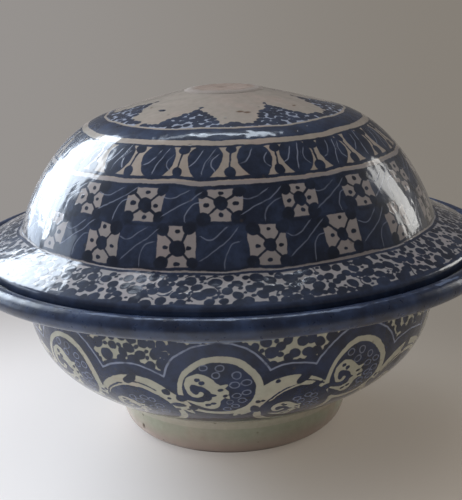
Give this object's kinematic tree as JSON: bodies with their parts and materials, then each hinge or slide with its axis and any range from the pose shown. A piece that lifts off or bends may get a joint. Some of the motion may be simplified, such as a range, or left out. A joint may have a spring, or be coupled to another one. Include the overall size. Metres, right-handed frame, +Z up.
{
  "type": "footed serving bowl with domed lid",
  "caption": "Footed earthenware serving bowl with an everted rolled rim and a flanged, domed lift-off lid, painted in cobalt blue on cream glaze.",
  "frame": {"origin": "centre of the foot ring's underside, on the surface that the bowl stands on", "axes": "+Z up along the axis that every member is turned about; -Y is the side that the reference view faces"},
  "size_m": [0.373, 0.373, 0.2387],
  "materials": {
    "painted_glaze": "glossy tin glaze, cobalt painting on cream",
    "cream_glaze": "glossy greenish cream glaze",
    "bare_clay": "unglazed, matt"
  },
  "bodies": {
    "bowl": {"foot_ring": "cream_glaze", "bowl_wall": "painted_glaze", "bowl_brim": "painted_glaze", "rim_roll": "painted_glaze"},
    "lid": {"lid_flange": "painted_glaze", "lid_dome": "painted_glaze", "lid_top_disc": "bare_clay"}
  },
  "joints": [
    {"name": "lid_lift", "type": "slide", "parent": "bowl", "child": "lid", "axis": [0, 0, 1], "range_m": [0, 0.15]}
  ]
}
